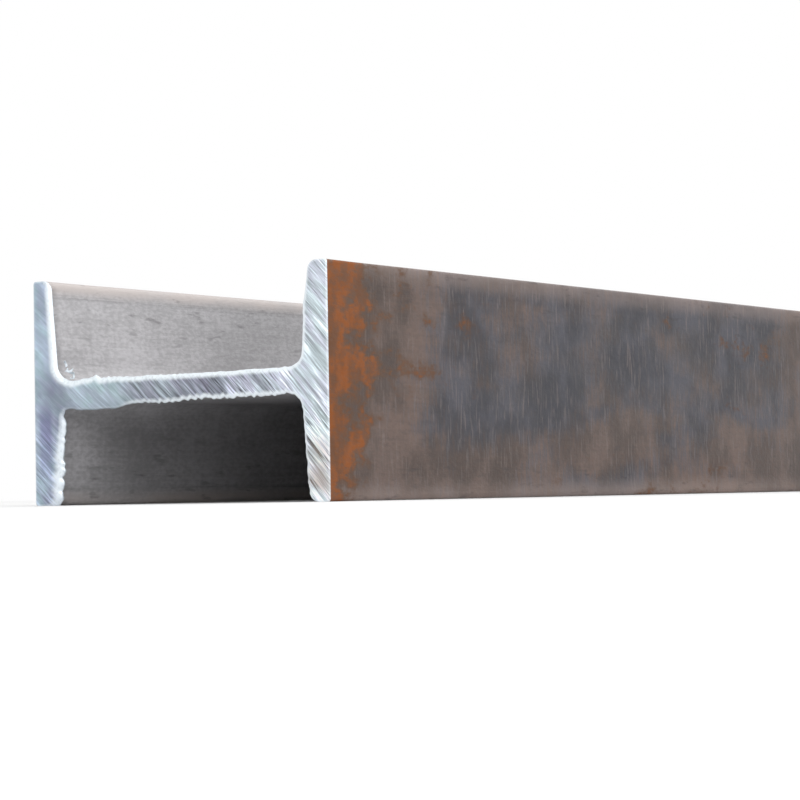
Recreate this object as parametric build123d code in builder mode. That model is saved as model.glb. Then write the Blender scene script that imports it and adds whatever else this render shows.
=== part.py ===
from build123d import *
from math import pi, radians, tan
import os

# A length of hot-rolled steel I-beam with tapered flanges, lying on the toes of its flanges.
# X runs across the beam's depth, Y along its length and Z up, across the width of its flanges.
# The origin is the middle of the beam's length and depth, on the floor that the toes rest on.
# All sizes are in millimetres.

# Sizes of the rolled section
depth = 120.0
flange_width = 74.0
web_thickness = 5.0
flange_thickness = 8.4
flange_slope_angle = 5.0
root_radius = 7.0
toe_radius = 3.0
outer_corner_radius = 1.0

# Most of a toe's edge that its two rounds may take, so that a flat is left to rest on
rounded_share_of_toe = 0.9

# Length that the stock is sold in
length = 3000.0

half_depth = depth / 2
half_width = flange_width / 2
half_web = web_thickness / 2

# The flange has its nominal thickness halfway between the web and the toe.
nominal_height = (half_web + half_width) / 2
flange_slope = tan(radians(flange_slope_angle))


def flange_thickness_at(height):
    """Flange thickness at a height above the middle of the web, thinner towards the toe."""
    return flange_thickness + flange_slope * (nominal_height - height)


# A round between two straight sides uses up this share of its radius on each of them.
corner_angle = pi / 2 + radians(flange_slope_angle)
share_at_slope = 1 / tan(corner_angle / 2)
share_at_square = 1.0


def limited(radius, share, wall):
    """The radius, made smaller only where its round would not fit on the wall."""
    return min(radius, wall / share)


# The web's free side holds the root round, and the toe's edge holds the two rounds beside it.
toe_thickness = flange_thickness_at(half_width)
web_side = half_depth - flange_thickness_at(half_web)
most_of_toe = rounded_share_of_toe * toe_thickness
root_round = limited(root_radius, share_at_slope, min(web_side, half_width - half_web) / 2)
outer_round = limited(outer_corner_radius, share_at_square, most_of_toe / 2)
toe_round = limited(toe_radius, share_at_slope, most_of_toe - outer_round)

# One rolled piece: a quarter outline from the web round to the flange's outer face,
# mirrored both ways and drawn out along the beam
section_plane = Plane.XZ.shift_origin((0, 0, half_width))

with BuildPart() as i_beam:
    with BuildSketch(section_plane) as section:
        with BuildLine() as outline:
            FilletPolyline(
                (0, half_web),
                (web_side, half_web),
                (half_depth - toe_thickness, half_width),
                (half_depth, half_width),
                (half_depth, 0),
                radius=(root_round, toe_round, outer_round),
            )
            mirror(about=Plane.YZ)
            mirror(about=Plane.XZ)
        make_face()
    extrude(amount=length / 2, both=True)

i_beam.part.label = "i_beam"

os.makedirs("parts", exist_ok=True)
export_step(i_beam.part, "parts/i_beam.step")

area = section.sketch.area
print(f"section {area / 100:.3f} cm2, flange slope {flange_slope_angle:.2f} degrees")
print(f"rounds: root {root_round:.2f}, toe {toe_round:.2f}, outer corner {outer_round:.2f}")
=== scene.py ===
"""Dress a length of hot-rolled steel I-beam: scaled rolled faces, and ends as the saw left them.

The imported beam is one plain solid. A closed mesh stands for it here, worked out from the same rolled
outline, with saw marks and burrs on both ends. All sizes are in metres, in the beam's own frame: X across
its depth, Y along it and Z up, with the origin on the floor under its middle.
"""
import itertools
import logging
from dataclasses import dataclass, field
from enum import Enum, IntEnum
from functools import partial, reduce
from math import atan, cos, pi, radians, sin, tan

import bpy
import numpy as np
from mathutils import Matrix, Vector


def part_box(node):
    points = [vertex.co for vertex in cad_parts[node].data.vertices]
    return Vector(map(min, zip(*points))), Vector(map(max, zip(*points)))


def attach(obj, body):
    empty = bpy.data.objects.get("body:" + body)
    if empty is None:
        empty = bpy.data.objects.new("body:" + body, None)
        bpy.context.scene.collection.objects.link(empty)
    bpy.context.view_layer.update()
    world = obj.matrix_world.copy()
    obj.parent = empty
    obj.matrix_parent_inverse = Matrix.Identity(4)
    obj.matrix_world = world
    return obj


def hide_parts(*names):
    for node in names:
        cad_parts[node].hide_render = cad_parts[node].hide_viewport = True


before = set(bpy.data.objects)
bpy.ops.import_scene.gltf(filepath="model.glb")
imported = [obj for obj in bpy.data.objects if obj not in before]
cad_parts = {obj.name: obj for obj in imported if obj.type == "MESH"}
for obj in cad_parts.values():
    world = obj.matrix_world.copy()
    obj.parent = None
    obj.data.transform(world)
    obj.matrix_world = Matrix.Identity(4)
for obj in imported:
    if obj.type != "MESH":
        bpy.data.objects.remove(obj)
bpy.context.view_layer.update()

Material = bpy.types.Material
Socket = bpy.types.NodeSocket
Point = tuple[float, float, float]
Colour = tuple[float, float, float]
Span = tuple[float, ...]
Part = tuple[Enum | float, ...]
Mask = tuple[Part, ...]
Shares = tuple[tuple[Enum, float], ...]

LOG = logging.getLogger("i_beam")
MM = 0.001
ROUNDING = 1e-6
BAKE_MAP = "OFBake"
LATTICE_PRIMES = (374761393, 668265263, 2147483647)
LATTICE_SEEDS = (362437, 1013904223)
LATTICE_SHIFTS = (13, 16)
LATTICE_MIXER = 1274126177
LATTICE_TOP = 0xFFFFF


class Finish(Enum):
    """Which finish a face has: its material's place on the piece."""

    SAWN = 0
    ROLLED = 1


class Zone(Enum):
    """Where a point of the outline lies."""

    OUTSIDE = 0
    UPPER = 1
    LOWER = 2


class Seed(IntEnum):
    """Lattices of the noises, and the steps between those of the burr at each end and in each channel."""

    MARKS = 3
    LONG_WAVE = 21
    SHORT_WAVE = 22
    BURR = 40
    LUMPS = 60
    END_STEP = 10
    ZONE_STEP = 3


class MapSheet(Enum):
    """Where each stretch of the surface lies on the bake's map: left, bottom, width and height."""

    NEAR_END = (0.01, 0.70, 0.47, 0.29)
    FAR_END = (0.52, 0.70, 0.47, 0.29)
    NEAR_SIDES = (0.01, 0.22, 0.98, 0.46)
    CURLS = (0.01, 0.19, 0.98, 0.02)
    REST = (0.01, 0.01, 0.98, 0.17)

    def place(self, across: np.ndarray, up: np.ndarray) -> np.ndarray:
        """Put shares of the stretch's own width and height onto the map."""
        left, bottom, width, height = self.value
        return np.stack([left + width * across, bottom + height * up], -1)


def smooth_step(share: np.ndarray | float) -> np.ndarray:
    """Ease a share from 0 to 1: three times its square less twice its cube, held within 0 and 1."""
    held = np.clip(share, 0.0, 1.0)
    return held * held * (3 - 2 * held)


def lattice_value(cells: np.ndarray, seed: int) -> np.ndarray:
    """Give each whole-numbered lattice cell its own fixed number from 0 to 1.

    The cell's coordinates are multiplied by large primes, added, and mixed by shifts and products.

    Args:
        cells: Whole coordinates, one row a cell.
        seed: Picks one of many independent lattices.

    Returns:
        One number for each row.
    """
    step, start = LATTICE_SEEDS
    first, second = (np.uint64(shift) for shift in LATTICE_SHIFTS)
    mixed = np.full(len(cells), seed * step + start, np.uint64)
    for column, prime in zip(cells.T, LATTICE_PRIMES):
        mixed += column.astype(np.int64).astype(np.uint64) * np.uint64(prime)
    mixed = (mixed ^ (mixed >> first)) * np.uint64(LATTICE_MIXER)
    mixed = (mixed ^ (mixed >> second)) & np.uint64(LATTICE_TOP)
    return mixed.astype(float) / LATTICE_TOP


def value_noise(places: np.ndarray, seed: int) -> np.ndarray:
    """Smooth noise from 0 to 1: lattice numbers blended with eased steps between neighbouring cells.

    Args:
        places: Places measured in lattice cells, one row a place, with one to three columns.
        seed: Picks the lattice.

    Returns:
        The noise at each place.
    """
    low = np.floor(places)
    share = smooth_step(places - low)
    total = np.zeros(len(places))
    for corner in itertools.product((0, 1), repeat=places.shape[1]):
        weight = np.ones(len(places))
        for axis, step in enumerate(corner):
            weight *= share[:, axis] if step else 1 - share[:, axis]
        total += weight * lattice_value(low + np.array(corner), seed)
    return total


def nearest_points(corners: np.ndarray, edge: np.ndarray) -> tuple[np.ndarray, np.ndarray]:
    """Find the edge point nearest to each corner, by squared distances worked out all at once.

    Args:
        corners: One row of two coordinates for each corner.
        edge: The same for the edge's points.

    Returns:
        The number of the nearest edge point for each corner, and how far off it is.
    """
    squares = (corners**2).sum(1)[:, None] + (edge**2).sum(1)[None, :] - 2 * corners @ edge.T
    nearest = squares.argmin(1)
    return nearest, np.linalg.norm(corners - edge[nearest], axis=1)


@dataclass(frozen=True)
class RolledSection:
    """The rolled outline of a tapered-flange beam whose web lies level.

    Heights are measured up and down from the middle of the web, and x from the middle of the depth. On a
    round, round_rows is how many rows of the mesh stand in a cell's length of its arc.
    """

    depth: float
    width: float
    web: float = 5.0 * MM
    flange: float = 8.4 * MM
    slope: float = tan(radians(5.0))
    root_radius: float = 7.0 * MM
    toe_radius: float = 3.0 * MM
    corner_radius: float = 1.0 * MM
    round_rows: float = 0.7

    @property
    def half_web(self) -> float:
        """Half the web's thickness."""
        return self.web / 2

    @property
    def half_width(self) -> float:
        """Half the flange's width."""
        return self.width / 2

    @property
    def tangent_share(self) -> float:
        """Share of its radius that a round uses up on each of the two sides that it joins."""
        return tan(pi / 4 - atan(self.slope) / 2)

    def sloped_face(self, height: np.ndarray | float) -> np.ndarray | float:
        """Place of the flange's sloped inner face, x, at a height."""
        nominal = (self.half_web + self.half_width) / 2
        return self.depth / 2 - self.flange - self.slope * (nominal - height)

    @property
    def web_reach(self) -> float:
        """Half the length of the web's flat, where the root rounds begin."""
        return self.sloped_face(self.half_web) - self.tangent_share * self.root_radius

    def inner_face(self, height: np.ndarray) -> np.ndarray:
        """Place of the flange's inner side: root round, sloped face, then toe round.

        Args:
            height: Heights from the middle of the web.

        Returns:
            Distance of the inner side from the middle of the depth, at each height.
        """
        up = np.abs(height)
        lean = sin(atan(self.slope))
        root_middle = self.half_web + self.root_radius
        root_top = root_middle - self.root_radius * lean
        root = self.web_reach + np.sqrt(np.maximum(self.root_radius**2 - (up - root_middle) ** 2, 0))
        toe_middle = self.half_width - self.toe_radius
        toe_from = toe_middle + self.toe_radius * lean
        toe_x = self.sloped_face(self.half_width) + self.tangent_share * self.toe_radius
        toe = toe_x - np.sqrt(np.maximum(self.toe_radius**2 - (up - toe_middle) ** 2, 0))
        side = np.where(up < root_top, root, self.sloped_face(up))
        side = np.where(up > toe_from, toe, side)
        return np.where(up <= self.half_web, self.web_reach, side)

    def outer_face(self, height: np.ndarray) -> np.ndarray:
        """Place of the flange's outer side, with its small corner rounds.

        Args:
            height: Heights from the middle of the web.

        Returns:
            Distance of the outer side from the middle of the depth, at each height.
        """
        past = np.maximum(np.abs(height) - (self.half_width - self.corner_radius), 0)
        round_in = self.corner_radius - np.sqrt(np.maximum(self.corner_radius**2 - past**2, 0))
        return self.depth / 2 - round_in

    def heights(self, cell: float) -> tuple[np.ndarray, int]:
        """Heights of the rows from the web's middle to the toe.

        On the two rounds the rows stand at even steps of the round's angle, and elsewhere about a cell apart.

        Args:
            cell: Row spacing on the straight stretches.

        Returns:
            The heights, and how many steps of them the web's half thickness takes.
        """
        lean = atan(self.slope)
        turn = pi / 2 - lean
        web_steps = round(self.half_web / cell)
        web = np.linspace(0, self.half_web, web_steps + 1)
        root_steps = round(self.round_rows * self.root_radius * turn / cell)
        root = self.half_web + self.root_radius * (1 + np.sin(np.linspace(-pi / 2, -lean, root_steps + 1)))
        toe_steps = round(self.round_rows * self.toe_radius * turn / cell)
        toe = self.half_width - self.toe_radius * (1 - np.sin(np.linspace(lean, pi / 2, toe_steps + 1)))
        face = np.linspace(root[-1], toe[0], round((toe[0] - root[-1]) / cell) + 1)
        return np.concatenate([web, root[1:], face[1:], toe[1:]]), web_steps


@dataclass
class CutFaceGrid:
    """Grid over the whole cut face: a patch of rows and columns for each flange, and one for the web.

    A flange's rows run level from its outer side to its inner side, and the web's patch takes over the
    rows that meet it, so the three share their corners.
    """

    section: RolledSection
    cell: float
    columns: int = 20
    x: np.ndarray = field(init=False)
    height: np.ndarray = field(init=False)
    quads: np.ndarray = field(init=False)
    loop: np.ndarray = field(init=False)
    zone: np.ndarray = field(init=False)
    along: np.ndarray = field(init=False)

    def __post_init__(self) -> None:
        """Work out the corners, the faces and the outline's loop."""
        half, web_steps = self.section.heights(self.cell)
        rows = np.concatenate([-half[:0:-1], half])
        low, high = len(half) - 1 - web_steps, len(half) - 1 + web_steps
        share = np.linspace(0, 1, self.columns + 1)
        outer, inner = self.section.outer_face(rows), self.section.inner_face(rows)
        across = outer[:, None] + (inner - outer)[:, None] * share[None, :]
        level = np.repeat(rows[:, None], self.columns + 1, 1)
        reach = self.section.web_reach
        web_x = np.linspace(-reach, reach, 2 * round(reach / self.cell) + 1)[1:-1]
        web_rows = rows[low:high + 1]
        left = np.arange(across.size).reshape(across.shape)
        right = left + across.size
        middle = np.arange(len(web_rows) * len(web_x)).reshape(len(web_rows), -1) + 2 * across.size
        web = np.concatenate([left[low:high + 1, -1:], middle, right[low:high + 1, -1:]], 1)
        self.x = np.concatenate([-across.ravel(), across.ravel(), np.tile(web_x, len(web_rows))])
        self.height = np.concatenate([level.ravel(), level.ravel(), np.repeat(web_rows, len(web_x))])
        self.quads = np.concatenate([self.faces(left), self.faces(right[:, ::-1]), self.faces(web)])
        self.trace(left, right, middle, low, high)

    @staticmethod
    def faces(grid: np.ndarray) -> np.ndarray:
        """Corners of a grid's faces, which face -Y where its rows rise and its columns run to +X."""
        corners = [grid[:-1, :-1], grid[:-1, 1:], grid[1:, 1:], grid[1:, :-1]]
        return np.stack([c.ravel() for c in corners], 1)

    def trace(self, left: np.ndarray, right: np.ndarray, middle: np.ndarray, low: int, high: int) -> None:
        """Follow the outline once round: up the left flange, over the web's top, and back underneath.

        Each point also gets its zone and its station, which is how far along its channel it lies: from -2 at
        the left toe, through -1 and 1 at the web's two ends, to 2 at the right toe.

        Args:
            left: Corner numbers of the left flange's patch.
            right: Corner numbers of the right flange's patch.
            middle: Corner numbers of the web's own patch.
            low: Row at the web's lower side.
            high: Row at the web's upper side.
        """
        runs = [
            (Zone.OUTSIDE, left[:, 0]),
            (Zone.OUTSIDE, left[-1, 1:]),
            (Zone.UPPER, left[high:-1, -1][::-1]),
            (Zone.UPPER, middle[-1]),
            (Zone.UPPER, right[high:, -1]),
            (Zone.OUTSIDE, right[-1, :-1][::-1]),
            (Zone.OUTSIDE, right[:-1, 0][::-1]),
            (Zone.OUTSIDE, right[0, 1:]),
            (Zone.LOWER, right[1:low + 1, -1]),
            (Zone.LOWER, middle[0][::-1]),
            (Zone.LOWER, left[:low + 1, -1][::-1]),
            (Zone.OUTSIDE, left[0, 1:-1][::-1]),
        ]
        self.loop = np.concatenate([run for _, run in runs])
        self.zone = np.concatenate([np.full(len(run), zone.value) for zone, run in runs])
        x, height = self.x[self.loop], self.height[self.loop]
        rise = (np.abs(height) - self.section.half_web) / (self.section.half_width - self.section.half_web)
        on_web = np.abs(x) <= self.section.web_reach * (1 + ROUNDING)
        self.along = np.where(on_web, x / self.section.web_reach, np.sign(x) * (1 + rise))

    def outline(self) -> tuple[np.ndarray, np.ndarray, np.ndarray]:
        """Places, outward directions and distances round the outline.

        The outward direction is the step from the last point to the next, turned a quarter to the left.

        Returns:
            The places and directions as x and height, and the distance round at each point and at the close.
        """
        places = np.stack([self.x[self.loop], self.height[self.loop]], 1)
        step = np.roll(places, -1, 0) - np.roll(places, 1, 0)
        step /= np.linalg.norm(step, axis=1)[:, None]
        outward = np.stack([-step[:, 1], step[:, 0]], 1)
        gaps = np.linalg.norm(np.roll(places, -1, 0) - places, axis=1)
        return places, outward, np.concatenate([[0], np.cumsum(gaps)])


@dataclass(frozen=True)
class BurrRun:
    """How the saw's burr changes along a channel's edge, as values at stations from -2 to 2.

    Each row holds a station, then in millimetres the burr's reach out of the edge, the width of the
    rolled-over band inside the edge, the height of the burr's scallops and the width of its painted
    highlight, then that highlight's strength and the burr's raggedness as shares. The highlight is
    painted light: colour standing in for the sky's glint on the rolled-over burr.
    """

    stations: tuple[tuple[float, float, float, float, float, float, float], ...]
    scallop_length: float = 2.7 * MM
    scallop_stray: float = 2.2 * MM
    coarse_cell: float = 3.1 * MM
    fine_cell: float = 1.1 * MM
    coarse_share: float = 1.5
    fine_share: float = 1.1

    def at(self, along: np.ndarray, places: np.ndarray, seed: int) -> np.ndarray:
        """Reach, band, highlight width and painted highlight strength at each point of the edge.

        The reach is the stations' value times one plus noise, plus scallops: the size of a sine of the
        distance along the edge.

        Args:
            along: Stations of the points.
            places: Their x and height.
            seed: Picks the noise.

        Returns:
            Four columns: reach, band, highlight width and painted highlight strength.
        """
        table = np.array(self.stations)
        columns = (np.interp(along, table[:, 0], column) for column in table.T[1:])
        reach, band, scallop, highlight_width, bright, ragged = columns
        coarse = value_noise(places / self.coarse_cell, seed) - 0.5
        fine = value_noise(places / self.fine_cell, seed + 1) - 0.5
        phase = (places.sum(1) + self.scallop_stray * coarse) / self.scallop_length
        teeth = np.abs(np.sin(pi * phase)) * scallop * (1 + fine)
        rough = reach * ragged * (self.coarse_share * coarse + self.fine_share * fine)
        return np.stack([np.maximum(reach + rough + teeth, 0.0) * MM, band * MM, highlight_width * MM, bright], 1)


UPPER_BURR = BurrRun(
    (
        (-2.0, 0.0, 0.5, 0.0, 1.0, 0.7, 0.2),
        (-1.93, 0.2, 1.8, 0.0, 2.1, 1.0, 0.1),
        (-1.15, 0.2, 1.9, 0.0, 2.5, 1.0, 0.1),
        (-1.02, 1.1, 0.9, 0.0, 2.0, 1.0, 0.1),
        (-0.9, 1.7, 0.3, 0.0, 1.8, 1.0, 0.2),
        (-0.75, 2.2, 0.3, 0.3, 1.9, 1.0, 0.3),
        (-0.55, 1.6, 0.3, 0.1, 1.6, 1.0, 0.15),
        (0.5, 1.7, 0.3, 0.05, 1.5, 1.0, 0.1),
        (0.98, 2.2, 0.3, 0.0, 1.3, 1.0, 0.1),
        (1.06, 1.5, 0.3, 0.0, 1.3, 1.0, 0.15),
        (1.2, 0.9, 0.3, 0.0, 1.3, 1.0, 0.2),
        (1.6, 1.5, 0.3, 0.0, 1.4, 1.0, 0.2),
        (1.75, 0.6, 0.3, 0.0, 0.9, 0.8, 0.3),
        (1.9, 0.4, 0.3, 0.0, 0.7, 0.7, 0.3),
        (2.0, 0.0, 0.3, 0.0, 0.5, 0.5, 0.2),
    )
)

LOWER_BURR = BurrRun(
    (
        (-2.0, 0.3, 0.3, 0.0, 0.6, 0.5, 0.2),
        (-1.96, 3.6, 0.6, 0.2, 3.0, 0.85, 0.2),
        (-1.75, 3.8, 0.6, 0.28, 3.3, 0.9, 0.25),
        (-1.55, 3.3, 0.6, 0.28, 2.8, 0.9, 0.25),
        (-1.2, 2.8, 0.4, 0.2, 1.9, 0.75, 0.22),
        (-1.06, 1.9, 0.3, 0.0, 0.8, 0.3, 0.06),
        (-0.98, 3.4, 0.3, 0.0, 0.5, 0.25, 0.04),
        (-0.6, 3.5, 0.3, 0.0, 0.5, 0.25, 0.05),
        (-0.42, 2.1, 0.3, 0.25, 1.0, 0.75, 0.15),
        (0.2, 1.5, 0.3, 0.42, 1.3, 1.0, 0.25),
        (0.9, 1.3, 0.3, 0.42, 1.3, 1.0, 0.25),
        (1.1, 0.6, 0.3, 0.2, 1.0, 0.8, 0.3),
        (1.92, 0.8, 0.3, 0.2, 1.0, 0.8, 0.4),
        (2.0, 0.0, 0.3, 0.0, 0.5, 0.5, 0.2),
    )
)


@dataclass(frozen=True)
class SawMarks:
    """Grooves that a round blade leaves: arcs about the blade's centre, below the left of the beam.

    A groove is about as wide and long as given, and the finer ones are smaller by fine_wide and fine_long.
    """

    centre: tuple[float, float] = (-0.455, -0.465)
    wide: float = 1.4 * MM
    long: float = 13.0 * MM
    deepest: float = 0.075 * MM
    broad_share: float = 0.6
    fine_wide: float = 0.42
    fine_long: float = 0.5
    fine_seed: int = 7

    def depth(self, x: np.ndarray, height: np.ndarray, seed: int) -> np.ndarray:
        """Groove depth as a share of the deepest one.

        The noise runs along arcs: one coordinate is the distance from the blade's centre, and the other the
        angle about it times the distance between it and the beam's middle. A broad noise takes its share and
        a finer one the rest.

        Args:
            x: Places across the depth.
            height: Places above the web's middle.
            seed: Picks the noise.

        Returns:
            Depths from 0 to 1.
        """
        out, up = x - self.centre[0], height - self.centre[1]
        radius = np.hypot(out, up)
        arc = np.arctan2(up, out) * np.hypot(*self.centre)
        broad = value_noise(np.stack([radius / self.wide, arc / self.long], 1), seed)
        spot = np.stack([radius / (self.fine_wide * self.wide), arc / (self.fine_long * self.long)], 1)
        fine = value_noise(spot, seed + self.fine_seed)
        return self.broad_share * broad + (1 - self.broad_share) * fine


@dataclass(frozen=True)
class TornCurl:
    """A thin curl of steel that the saw tore out of the edge and left hanging.

    Its middle is given as x, the distance behind the near cut, and the height above the floor. Its radius
    opens from the first to the second share in opening. Its tips are narrower than its width: tip_width is
    their share of it, which grows by tip_taper over the strip's whole length. No curl's axis lies along
    off_axis, and corner_on_map is how far its corners lie apart on its stretch of the map.
    """

    middle: Point
    axis: Point
    radius: float
    turns: float
    start: float
    pitch: float = 1.1 * MM
    width: float = 0.8 * MM
    thickness: float = 0.16 * MM
    steps: int = 44
    opening: tuple[float, float] = (0.7, 1.2)
    tip_width: float = 0.25
    tip_taper: float = 4.0
    off_axis: Point = (0.3, 0.9, 0.2)
    corner_on_map: float = 0.3

    def surface(self, cut: float) -> tuple[np.ndarray, np.ndarray, np.ndarray]:
        """Closed strip wound along a helix whose radius opens out.

        The strip's four corners lie half a width along the axis and half a thickness along the radius from
        the helix.

        Args:
            cut: Place of the near cut, y.

        Returns:
            The places, the faces' corner numbers, and the corners' places on the map as shares.
        """
        share = np.linspace(0, 1, self.steps + 1)
        axis = np.array(self.axis) / np.linalg.norm(self.axis)
        side = np.cross(axis, self.off_axis)
        side /= np.linalg.norm(side)
        other = np.cross(axis, side)
        angle = self.start + 2 * pi * self.turns * share
        radial = np.cos(angle)[:, None] * side + np.sin(angle)[:, None] * other
        radius = self.radius * np.interp(share, (0, 1), self.opening)
        rise = self.pitch * self.turns * (share - 0.5)
        middle = np.array(self.middle) + (0, cut, 0)
        line = middle + radial * radius[:, None] + rise[:, None] * axis
        taper = np.minimum(1.0, self.tip_width + self.tip_taper * np.minimum(share, 1 - share))
        half_width = (self.width / 2 * taper)[:, None] * axis
        half_thick = self.thickness / 2 * radial
        ring = [line + half_width + half_thick, line - half_width + half_thick]
        ring += [line - half_width - half_thick, line + half_width - half_thick]
        sides = len(ring)
        places = np.stack(ring, 1).reshape(-1, 3)
        around = np.arange(sides)
        start = np.arange(self.steps)[:, None] * sides
        after = (around + 1) % sides
        quads = np.stack([start + around, start + after, start + sides + after, start + sides + around], -1)
        caps = np.stack([around[::-1], self.steps * sides + around])
        faces = np.concatenate([quads.reshape(-1, quads.shape[-1]), caps])
        first = places[faces[:, 0]]
        turn = np.cross(places[faces[:, 1]] - first, places[faces[:, 2]] - first)
        if (turn * (first - line.mean(0))).sum() < 0:
            faces = faces[:, ::-1]
        corner = np.tile(self.corner_on_map * around, self.steps + 1)
        return places, faces, np.stack([np.repeat(share, sides), corner], 1)


class SteelMesh:
    """Corners and faces of a closed mesh, gathered block by block."""

    def __init__(self) -> None:
        """Start empty."""
        self.places: list[np.ndarray] = []
        self.painted_highlight: list[np.ndarray] = []
        self.groove: list[np.ndarray] = []
        self.faces: list[np.ndarray] = []
        self.maps: list[np.ndarray] = []
        self.finishes: list[np.ndarray] = []
        self.count = 0

    def add_corners(
        self, places: np.ndarray, painted_highlight: np.ndarray | float = 0.0, groove: np.ndarray | float = 0.5
    ) -> np.ndarray:
        """Take in corners.

        Args:
            places: One row of x, y and z for each.
            painted_highlight: Painted highlight for the sky's glint on the burr, from 0 to 1.
            groove: How deep in a saw groove each lies, from 0 to 1.

        Returns:
            Their numbers in the mesh.
        """
        self.places.append(places)
        self.painted_highlight.append(np.broadcast_to(painted_highlight, len(places)))
        self.groove.append(np.broadcast_to(groove, len(places)))
        self.count += len(places)
        return np.arange(self.count - len(places), self.count)

    def add_faces(self, corners: np.ndarray, map_places: np.ndarray, finish: Finish) -> None:
        """Take in faces with the same number of corners.

        Args:
            corners: Corner numbers, one row a face.
            map_places: Place on the bake's map of each face's corners.
            finish: Their finish.
        """
        self.faces.append(corners)
        self.maps.append(map_places)
        self.finishes.append(np.full(len(corners), finish.value))

    def build(self, name: str, finishes: list[Material]) -> bpy.types.Object:
        """Make the object.

        Args:
            name: Name of the object and its mesh.
            finishes: Its materials, in the order of Finish.

        Returns:
            The object, linked to the scene.
        """
        mesh = bpy.data.meshes.new(name)
        faces = [face for block in self.faces for face in block.tolist()]
        mesh.from_pydata(np.concatenate(self.places), [], faces)
        for finish in finishes:
            mesh.materials.append(finish)
        mesh.polygons.foreach_set("material_index", np.concatenate(self.finishes).astype(np.int32))
        mesh.polygons.foreach_set("use_smooth", np.ones(len(faces), bool))
        flat_map = np.concatenate([block.reshape(-1, 2) for block in self.maps])
        mesh.uv_layers.new(name=BAKE_MAP).uv.foreach_set("vector", flat_map.astype(np.float32).ravel())
        for label, values in (("painted_highlight", self.painted_highlight), ("groove", self.groove)):
            attribute = mesh.attributes.new(label, "FLOAT", "POINT")
            attribute.data.foreach_set("value", np.concatenate(values).astype(np.float32))
        mesh.update()
        piece = bpy.data.objects.new(name, mesh)
        bpy.context.scene.collection.objects.link(piece)
        return piece


@dataclass(frozen=True)
class Ring:
    """A ring of corners round the beam, with every skip-th point of the outline."""

    corners: np.ndarray
    skip: int
    distance: float


@dataclass(frozen=True)
class RingSpacing:
    """Where the side rings stand, measured from an end: close near both ends, and far apart between.

    The fine rings reach as far as far_from, where the far end's own rings begin too.
    """

    close: tuple[float, ...] = (4.5 * MM, 6.5 * MM, 9.0 * MM)
    fine_from: float = 12 * MM
    fine_step: float = 5 * MM
    middle_from: float = 156 * MM
    middle_step: float = 12 * MM
    far_from: float = 150 * MM
    coarse_gap: float = 10 * MM
    coarse: int = 34

    def stations(self, length: float, near_reach: float) -> list[tuple[float, int]]:
        """Lay the rings out.

        Args:
            length: The beam's length.
            near_reach: How far from the near end the rings keep to their middle step.

        Returns:
            Each ring's distance from the near end and its skip.
        """
        close = [(d, 1) for d in self.close]
        fine = [(d, 2) for d in np.arange(self.fine_from, self.far_from, self.fine_step)]
        middle = [(d, 2) for d in np.arange(self.middle_from, near_reach, self.middle_step)]
        last = length - self.far_from - self.coarse_gap
        coarse = [(d, 4) for d in np.linspace(middle[-1][0], last, self.coarse + 1)[1:]]
        far_fine = [(length - d, 2) for d in np.arange(self.far_from, self.fine_from, -self.middle_step)]
        far_close = [(length - d, skip) for d, skip in close[::-1]]
        return close + fine + middle + coarse + far_fine + far_close


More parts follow.
